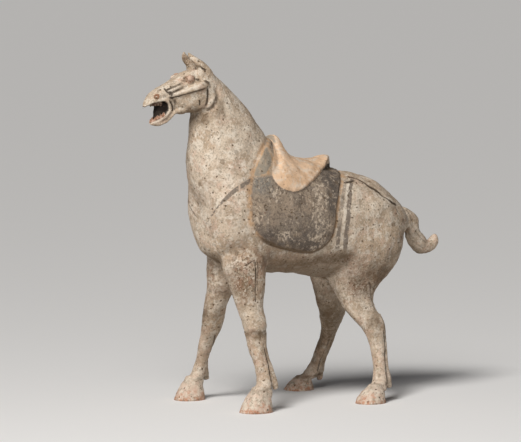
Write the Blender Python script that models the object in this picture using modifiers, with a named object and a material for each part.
"""A painted pottery tomb horse: one fired piece, saddled, standing square on four splayed legs.

The horse faces -X and its near (left) side is -Y. Every form is a loft: a row of stations, each an oval
whose ends lie in the plane of symmetry, or in a plane beside it for a leg or an ear. The lofts are
pressed into one skin of clay, rubbed smooth where they join, and faceted.
"""

import bmesh
import bpy
import numpy as np

HEIGHT = 0.356  # soles to ear tips, in metres
SHARE = HEIGHT / 356  # the tables below are in shares of the height

CLAY_GRAIN = 1.7 * SHARE  # finest form that the pressed skin keeps
FACETS = 9400  # triangles of the finished figure
JOINT_RUBS = 14  # passes of the thumb over the joints of the body
LAST_RUBS = 3  # passes over the whole figure
LEG_TOP = 95 * SHARE  # the rubbed joints lie between these heights
HEAD_BOTTOM = 300 * SHARE
GROUND_SIDE = 600 * SHARE  # of the block that rubs the soles flat

CLOTH_THICKNESS = 2.2 * SHARE
LEAF_THICKNESS = 6.0 * SHARE  # of the saddle over the trunk, cloth included
OUTLINE_STEPS = 72  # points of a smooth outline
OUTLINE_REACH = 70 * SHARE  # half the width of the blocks that cloth and saddle are cut with

NEAR_FORE_GIRTH = 1.05  # the near foreleg is stouter than the others
FAR_FORE_GIRTH = 0.97
POLE = 0.05  # angle that the first ring of a ball keeps from its pole

SLIP_COLOUR = (0.62, 0.52, 0.41, 1.0)
SLIP_ROUGHNESS = 0.85

# A station: front or lower end (along, up), back or upper end (along, up), out from the middle, half width
TRUNK = (
    (-113, 190, -118, 236, 0, 18),
    (-110.8, 168.5, -108, 250, 0, 33),
    (-102, 149, -94, 256, 0, 40),
    (-72, 140, -70, 255, 0, 43),
    (-42, 132, -40, 249, 0, 45),
    (-8, 128, -6, 239, 0, 46),
    (26, 122.5, 27, 230, 0, 46),
    (54, 123.5, 57, 227, 0, 46),
    (78, 132, 82, 219.5, 0, 44),
    (100, 147, 103, 204.3, 0, 39),
    (115, 161, 117, 187.3, 0, 29),
    (122, 172, 123, 179, 0, 16),
)
NECK = (
    (-106, 176, -12, 234, 0, 40),
    (-114.8, 203, -28, 250, 0, 39),
    (-124.6, 230, -38.5, 262.5, 0, 35),
    (-126.4, 252, -48, 277.5, 0, 30.5),
    (-125.2, 270, -60.5, 294.5, 0, 26),
    (-123.6, 285, -75.5, 310, 0, 22),
    (-122, 296, -90, 323.5, 0, 18),
    (-117, 309, -102.5, 333.5, 0, 14),
)
HEAD = (
    (-104, 306, -100, 331, 0, 12),
    (-110, 299, -108, 337, 0, 15),
    (-122, 296.5, -119, 339.5, 0, 16),
    (-134, 295.5, -132.5, 337.5, 0, 15),
    (-144, 297.5, -143.5, 335.5, 0, 12),
    (-155, 303.5, -153, 329.3, 0, 10.5),
    (-165, 306, -163.5, 324.7, 0, 9.5),
    (-174, 305, -172, 320.3, 0, 9),
    (-181, 303.3, -180, 314.8, 0, 6.5),
    (-184.5, 302.5, -184.3, 307.3, 0, 3.5),
)
LOWER_JAW = (
    (-138, 294.5, -140, 306, 0, 10),
    (-149, 293.5, -153, 302, 0, 9),
    (-155, 287.6, -160, 296.8, 0, 8),
    (-163, 284.6, -166, 292.8, 0, 7.4),
    (-170, 284.8, -171.5, 290.3, 0, 5.9),
    (-175, 285.5, -175.5, 288.6, 0, 3.3),
)
TONGUE = (
    (-146, 297, -147, 306, 0, 5),
    (-154, 294, -156, 303.5, 0, 5),
    (-160, 291, -163, 300, 0, 4.6),
    (-166, 288.5, -168, 296.5, 0, 4),
    (-171, 287.5, -172, 293, 0, 2.6),
)
EAR = (
    (-127, 330, -105, 330, 8, 6.5),
    (-129.5, 339, -109, 336.5, 9.2, 6),
    (-131, 347, -117.5, 344, 8.6, 4.8),
    (-132, 352.5, -124, 350.5, 6.4, 3.4),
    (-132, 357, -129.3, 356.3, 4.2, 1.8),
)
CHEEK_STRAP = (
    (-160, 313, -160, 316, 9, 1.8),
    (-148, 315, -149, 319.5, 11.2, 2.2),
    (-136, 317, -137, 323.5, 14, 2.6),
    (-124, 319.5, -125, 328, 15.5, 2.8),
    (-117, 322, -116, 328, 14.5, 2),
)
FORELEG = (
    (-100, 214, -60, 206, 14, 23),
    (-98, 186, -48, 180, 15, 22),
    (-93.5, 160, -50, 156, 17, 20),
    (-92.8, 138, -55, 136, 18.5, 18.5),
    (-91.8, 120, -58, 118, 22, 15.5),
    (-90.4, 108, -62, 108, 27, 12.8),
    (-89.2, 98, -64.5, 98, 31, 11.8),
    (-87.6, 84, -64.2, 84, 36.3, 10.6),
    (-86.6, 71, -66.6, 71, 41, 9.2),
    (-86, 58, -70.4, 58, 46.3, 7.8),
    (-84.6, 44, -71.2, 44, 52.5, 7.2),
    (-85.8, 31, -71.8, 31, 57.5, 7.4),
    (-89, 20, -73, 20, 60, 8),
    (-92, 11, -75.5, 12, 60.5, 9),
)
HIND_LEG = (
    (40, 208, 104, 198, 18, 24),
    (30, 182, 110.5, 176, 20, 25),
    (28.5, 158, 110.5, 156, 22, 25),
    (28.5, 138, 106.3, 138, 20, 23.2),
    (30, 120, 94.8, 122, 16.5, 20.6),
    (37, 104, 79.4, 107, 18.5, 15.5),
    (43.5, 90, 75.2, 93, 24.5, 12.4),
    (52, 77, 80.3, 80.5, 33, 10.2),
    (58, 66, 78.6, 70, 39, 8.5),
    (60.7, 54, 74.6, 55, 44.8, 7.3),
    (58.8, 42, 71.8, 43, 49.5, 7),
    (56.8, 30, 70.4, 31, 54.5, 7.3),
    (52, 19, 67.5, 19.5, 59.3, 8),
    (46, 11, 64.5, 12, 61.5, 9),
)
FORE_HOOF = (  # along from the middle of the sole
    (-5, 23, 8, 23, 0, 7.8),
    (-10.6, 17, 11.4, 17, 0, 11),
    (-15, 10, 13.3, 10, 0, 13),
    (-17, 4, 13.8, 4, 0, 13.8),
    (-17.8, -2, 14.2, -2, 0, 14),
)
HIND_HOOF = (
    (-2.5, 19, 10, 19, 0, 7.8),
    (-9.8, 13, 12, 13, 0, 11),
    (-14.3, 7, 13.3, 7, 0, 13),
    (-16.2, 2.5, 13.8, 2.5, 0, 13.8),
    (-17.2, -2, 14.2, -2, 0, 14),
)
FORE_TENDON = (  # the cord of sinew and hair that stands off behind the cannon
    (-74.5, 75, -67, 77, 39, 2.8),
    (-74.2, 62, -65.6, 64, 44.5, 3.4),
    (-73.5, 49, -64.2, 50, 50, 3.6),
    (-72, 37, -62.2, 38, 55.3, 3.6),
    (-69.5, 27, -60, 28.5, 58.3, 3.5),
    (-66, 20, -58.8, 21.5, 59.3, 3),
    (-63, 16.6, -59.3, 18, 59.5, 2.2),
)
HIND_TENDON = (
    (76.5, 82, 81.5, 84, 30.5, 2.6),
    (75.5, 71, 81.5, 73, 37, 3.2),
    (72.5, 57, 79.3, 58, 43.3, 3.4),
    (69.5, 44, 76.3, 45, 49, 3.4),
    (68, 31, 74.2, 32, 54.8, 3.4),
    (68, 19, 75, 20, 59, 3.4),
    (69.5, 11.5, 75, 12.5, 60.3, 2.7),
)
TAIL = (
    (106, 168, 112, 188.5, 0, 10),
    (124, 165, 129, 186.5, 0, 9.5),
    (132, 162, 144.5, 177, 0, 8.5),
    (134.5, 153.5, 147.4, 162.5, 0, 8),
    (139.5, 144.5, 154.5, 154, 0, 8),
    (149.5, 137, 158.5, 151, 0, 7.5),
    (164.5, 139.5, 163.5, 153, 0, 6.5),
    (171, 147, 166.5, 156, 0, 5),
    (171.5, 154, 169, 157.5, 0, 2.5),
)
SEAT = (
    (-37, 214, -36.5, 254, 0, 25),
    (-32.5, 212, -32.5, 265.5, 0, 22),
    (-28.5, 210, -28.5, 268.5, 0, 20),
    (-24, 208, -24, 258, 0, 24),
    (-17, 206, -17, 249, 0, 32),
    (-6, 204, -6, 246, 0, 37),
    (6, 206, 6, 243.8, 0, 37),
    (17, 215, 17, 242.8, 0, 31),
    (25.5, 224, 25.5, 244.5, 0, 21),
    (32.5, 231.5, 33, 245.8, 0, 13),
    (37.3, 236, 37.6, 243.8, 0, 7),
)
SADDLE_OUTLINE = (  # along, up; the saddle seen from the side
    (-37, 276),
    (-38, 262),
    (-45, 252),
    (-52.5, 243),
    (-55, 234),
    (-50, 225),
    (-42, 219.5),
    (-34, 216.5),
    (-27, 216.5),
    (-20, 219.5),
    (-8, 226),
    (5, 232),
    (17, 236.5),
    (28, 238.5),
    (38, 239.5),
    (42, 248),
    (24, 264),
    (-10, 278),
)
CLOTH_OUTLINE = (  # along, up; the cloth hangs to this line on both sides
    (-30, 284),
    (-35.5, 269),
    (-47, 262.5),
    (-60, 256.5),
    (-74.5, 239),
    (-81.5, 220),
    (-82.5, 195),
    (-77, 178),
    (-64, 167.5),
    (-43, 160),
    (-19, 154.5),
    (-4, 155.5),
    (8.5, 165),
    (13.5, 180),
    (20, 204),
    (34, 222),
    (44, 230),
    (50, 250),
    (44, 282),
)
# A ball: place (along, up, out, radius) and how far it is drawn out (along, across, up)
CHEEK = ((-120, 314, 9.5, 16), (1.0, 0.38, 0.95))
EYE = ((-135.5, 331.2, 12.0, 5.4), (1.0, 0.55, 0.85))
BROW = ((-140, 331.8, 9.0, 5.0), (1.1, 0.7, 0.55))
NEAR_FOREARM = ((-86, 143, 18, 15), (0.95, 1.0, 1.35))  # swells the top of the near foreleg
# A foot: its tables; side; along and out to the middle of its sole; hoof length and hoof height as shares
# of the table's; how far its tendon is moved along and up
FEET = (
    (FORE_HOOF, FORE_TENDON, -1, -88, 60, 1.07, 1.05, 0, 0),
    (FORE_HOOF, FORE_TENDON, 1, -88, 60, 1.0, 1.0, -2.5, -4),
    (HIND_HOOF, HIND_TENDON, -1, 47, 64, 1.0, 0.95, 0, 0),
    (HIND_HOOF, HIND_TENDON, 1, 47, 64, 1.0, 0.75, -2, -5),
)


def clear_scene():
    """Takes every object out of the scene."""
    for thing in list(bpy.data.objects):
        bpy.data.objects.remove(thing)


def collection(name):
    """A collection of that name, linked to the scene."""
    made = bpy.data.collections.new(name)
    bpy.context.scene.collection.children.link(made)
    return made


def eased(rows, count):
    """Rows read from a smooth curve (Catmull-Rom) through the given ones, evenly along their order."""
    rows = np.array(rows, float)
    ends = np.vstack([2 * rows[0] - rows[1], rows, 2 * rows[-1] - rows[-2]])
    place = np.linspace(0, len(rows) - 1, count)
    first = np.minimum(place.astype(int), len(rows) - 2)
    part = (place - first)[:, None]
    before, start, stop, after = (ends[first + step] for step in range(4))
    return 0.5 * (
        2 * start
        + (stop - before) * part
        + (2 * before - 5 * start + 4 * stop - after) * part**2
        + (3 * start - before - 3 * stop + after) * part**3
    )


def loft(stations, side=0, rings=44, points=40, square=2.2, lean=0.0, girth=1.0, shift=(0, 0)):
    """One closed skin through the stations, as (vertices, faces).

    A ring runs round an oval: its long axis joins the two ends of the station, and its half width goes
    across. square is the oval's power (2 is an ellipse), lean widens the first end and narrows the
    second, and girth swells the oval about its middle. side is -1 or 1 for a pair, and 0 on the plane of
    symmetry.
    """
    rows = eased(stations, rings) * SHARE
    along, up = (step * SHARE for step in shift)
    first = np.stack([rows[:, 0] + along, rows[:, 4] * side, rows[:, 1] + up], axis=1)
    second = np.stack([rows[:, 2] + along, rows[:, 4] * side, rows[:, 3] + up], axis=1)
    turn = np.linspace(0, 2 * np.pi, points, endpoint=False)
    reach = girth * np.sign(np.cos(turn)) * np.abs(np.cos(turn)) ** (2 / square)
    width = girth * np.sign(np.sin(turn)) * np.abs(np.sin(turn)) ** (2 / square) * (1 + lean * reach)
    grid = (first + second)[:, None] / 2 + (first - second)[:, None] / 2 * reach[None, :, None]
    grid[:, :, 1] += rows[:, 5, None] * width
    return closed_grid(grid)


def closed_grid(grid):
    """The vertices and faces of a tube of rings, with a point in the middle of each end."""
    rings, points = grid.shape[:2]
    vertices = np.concatenate([grid.reshape(-1, 3), grid[[0, -1]].mean(axis=1)])
    ring, point = np.meshgrid(np.arange(rings - 1), np.arange(points), indexing="ij")
    here = ring * points + point
    beside = ring * points + (point + 1) % points
    faces = np.stack([here, beside, beside + points, here + points], axis=-1).reshape(-1, 4).tolist()
    count = rings * points
    for step in range(points):
        after = (step + 1) % points
        faces.append([count, after, step])
        faces.append([count + 1, count - points + step, count - points + after])
    return vertices, faces


def ball(place, stretch, side, rings=16, points=20):
    """An oval ball as (vertices, faces)."""
    along, up, out, radius = place
    fall = np.linspace(POLE, np.pi - POLE, rings)[:, None]
    turn = np.linspace(0, 2 * np.pi, points, endpoint=False)[None]
    grid = np.stack(
        [
            along + radius * stretch[0] * np.sin(fall) * np.cos(turn),
            side * out + radius * stretch[1] * np.sin(fall) * np.sin(turn),
            up - radius * stretch[2] * np.cos(fall) * np.ones_like(turn),
        ],
        axis=-1,
    )
    return closed_grid(grid * SHARE)


def legs():
    """The four legs down to the pasterns."""
    forms = []
    for side, girth in ((-1, NEAR_FORE_GIRTH), (1, FAR_FORE_GIRTH)):
        forms += [loft(FORELEG, side, points=28, girth=girth), loft(HIND_LEG, side, points=28)]
    return forms + [ball(*NEAR_FOREARM, -1)]


def foot(hoof, tendon, side, along, out, length, height, back, lift):
    """A hoof and the tendon that ends above its heel."""
    shaped = [
        (front * length, low * height, rear * length, high * height, out, half * length)
        for front, low, rear, high, _, half in hoof
    ]
    return [
        loft(shaped, side, rings=20, points=28, shift=(along, 0)),
        loft(tendon, side, rings=26, points=16, shift=(back, lift)),
    ]


def head_side(side):
    """The forms of one side of the head: ear, cheek, eye, brow and the strap along the cheek."""
    return [
        loft(EAR, side, rings=20, points=20, square=2.0),
        loft(CHEEK_STRAP, side, rings=20, points=16, square=2.0),
        ball(*CHEEK, side),
        ball(*EYE, side),
        ball(*BROW, side),
    ]


def mesh_object(name, forms, place):
    """An object that holds every form as loose closed skins."""
    vertices = []
    faces = []
    count = 0
    for points, sides in forms:
        vertices.append(points)
        faces += [[count + corner for corner in face] for face in sides]
        count += len(points)
    mesh = bpy.data.meshes.new(name)
    mesh.from_pydata(np.concatenate(vertices).tolist(), [], faces)
    work = bmesh.new()
    work.from_mesh(mesh)
    bmesh.ops.recalc_face_normals(work, faces=work.faces)
    return object_from(name, work, place)


def object_from(name, work, place):
    """An object whose mesh is the finished bmesh."""
    mesh = bpy.data.meshes.new(name)
    work.to_mesh(mesh)
    work.free()
    made = bpy.data.objects.new(name, mesh)
    place.objects.link(made)
    return made


def helper(made):
    """Keeps a cutter or a raw form out of the finished figure."""
    made.hide_render = True
    made.display_type = "WIRE"
    return made


def finished_mesh(thing):
    """The mesh of an object with its modifiers worked in."""
    bpy.context.view_layer.update()
    graph = bpy.context.evaluated_depsgraph_get()
    return bpy.data.meshes.new_from_object(thing.evaluated_get(graph))


def outline_block(name, outline, place):
    """A block with the outline as its section, right across the trunk."""
    curve = bpy.data.curves.new(name, "CURVE")
    curve.dimensions = "2D"
    curve.fill_mode = "BOTH"
    curve.extrude = OUTLINE_REACH
    line = curve.splines.new("POLY")
    points = eased(outline + outline[:1], OUTLINE_STEPS)[:-1] * SHARE
    line.points.add(len(points) - 1)
    for point, (along, up) in zip(line.points, points):
        point.co = (along, up, 0, 1)
    line.use_cyclic_u = True
    drawn = bpy.data.objects.new(name, curve)
    place.objects.link(drawn)
    work = bmesh.new()
    work.from_mesh(finished_mesh(drawn))
    bmesh.ops.remove_doubles(work, verts=work.verts, dist=1e-6)
    bpy.data.objects.remove(drawn)
    block = object_from(name, work, place)
    block.rotation_euler = (np.pi / 2, 0, 0)
    return helper(block)


def cut_to_outline(grown, thickness, outline, place):
    """An object grown by a thickness and cut to an outline seen from the side."""
    swell = grown.modifiers.new("thickness", "DISPLACE")
    swell.strength = thickness
    swell.mid_level = 0
    cut = grown.modifiers.new("outline", "BOOLEAN")
    cut.operation = "INTERSECT"
    cut.object = outline_block(grown.name + "_outline", outline, place)
    return helper(grown)


def settled(mesh):
    """The same skin with its edges in the order of its faces, which is the same on every computer."""
    points = np.empty(len(mesh.vertices) * 3, np.float32)
    mesh.vertices.foreach_get("co", points)
    corners = np.empty(len(mesh.loops), np.int32)
    mesh.loops.foreach_get("vertex_index", corners)
    starts = np.empty(len(mesh.polygons), np.int32)
    mesh.polygons.foreach_get("loop_start", starts)
    work = bmesh.new()
    made = [work.verts.new(point) for point in points.reshape(-1, 3)]
    for face in np.split(corners, starts[1:]):
        work.faces.new([made[corner] for corner in face])
    return work


def pressed(name, things, place):
    """The objects as one skin of clay, as an open bmesh."""
    joined = bmesh.new()
    for thing in things:
        joined.from_mesh(finished_mesh(thing))
    made = object_from(name, joined, place)
    skin = made.modifiers.new("clay", "REMESH")
    skin.mode = "VOXEL"
    skin.voxel_size = CLAY_GRAIN
    return settled(finished_mesh(helper(made)))


def rub(work, passes, low, high):
    """Smooths the skin between two heights, as a wet thumb would."""
    near = [vertex for vertex in work.verts if low <= vertex.co.z <= high]
    for _ in range(passes):
        bmesh.ops.smooth_vert(
            work, verts=near, factor=0.5, use_axis_x=True, use_axis_y=True, use_axis_z=True
        )


def body(place):
    """Trunk, neck and legs, rubbed smooth where they join."""
    forms = [
        loft(TRUNK, rings=60, points=64),
        loft(NECK, rings=48, points=56, square=2.1, lean=0.15),
    ]
    work = pressed("body_skin", [helper(mesh_object("body_forms", forms + legs(), place))], place)
    rub(work, JOINT_RUBS, LEG_TOP, HEAD_BOTTOM)
    return helper(object_from("rubbed_body", work, place))


def small_forms(place):
    """Head, jaw, ears, tail, hooves and tufts."""
    forms = [
        loft(HEAD, rings=48, points=36, square=2.4),
        loft(LOWER_JAW, rings=30, points=28),
        loft(TONGUE, rings=24, points=20),
        loft(TAIL, rings=40, points=20),
    ]
    for side in (-1, 1):
        forms += head_side(side)
    for row in FEET:
        forms += foot(*row)
    return helper(mesh_object("small_forms", forms, place))


def saddlery(rubbed, place):
    """Saddle cloth and saddle: the rubbed body, the trunk and the seat, cut to their outlines."""
    cloth = bpy.data.objects.new("cloth", rubbed.data.copy())
    place.objects.link(cloth)
    leaf = mesh_object("saddle_leaf", [loft(TRUNK, rings=60, points=64)], place)
    seat = mesh_object("saddle_seat", [loft(SEAT, rings=48, points=48)], place)
    return [
        cut_to_outline(cloth, CLOTH_THICKNESS, CLOTH_OUTLINE, place),
        cut_to_outline(leaf, LEAF_THICKNESS, SADDLE_OUTLINE, place),
        cut_to_outline(seat, 0, SADDLE_OUTLINE, place),
    ]


def ground(place):
    """The flat ground that the soles are rubbed down to."""
    work = bmesh.new()
    bmesh.ops.create_cube(work, size=GROUND_SIDE)
    made = object_from("ground", work, place)
    made.location = (0, 0, -GROUND_SIDE / 2)
    return helper(made)


def slip():
    """Cream slip over buff clay."""
    made = bpy.data.materials.new("cream_slip")
    made.use_nodes = True
    shader = made.node_tree.nodes["Principled BSDF"]
    shader.inputs["Base Color"].default_value = SLIP_COLOUR
    shader.inputs["Roughness"].default_value = SLIP_ROUGHNESS
    shader.inputs["Metallic"].default_value = 0.0
    return made


def horse():
    """The whole figure, its length centred over the origin and its soles on the ground."""
    clear_scene()
    figure = collection("pottery_tomb_horse")
    cutters = collection("cutters_and_raw_forms")
    rubbed = body(cutters)
    things = [rubbed, small_forms(cutters)] + saddlery(rubbed, cutters)
    work = pressed("whole_skin", things, cutters)
    rub(work, LAST_RUBS, 0, HEIGHT)
    along = [vertex.co.x for vertex in work.verts]
    middle = (min(along) + max(along)) / 2
    for vertex in work.verts:
        vertex.co.x -= middle
    triangles = 2 * len(work.faces)
    made = object_from("pottery_horse", work, figure)
    facets = made.modifiers.new("facets", "DECIMATE")
    facets.ratio = FACETS / triangles
    soles = made.modifiers.new("soles", "BOOLEAN")
    soles.operation = "DIFFERENCE"
    soles.object = ground(cutters)
    made.data.materials.append(slip())
    return made


if __name__ == "__main__":
    horse()
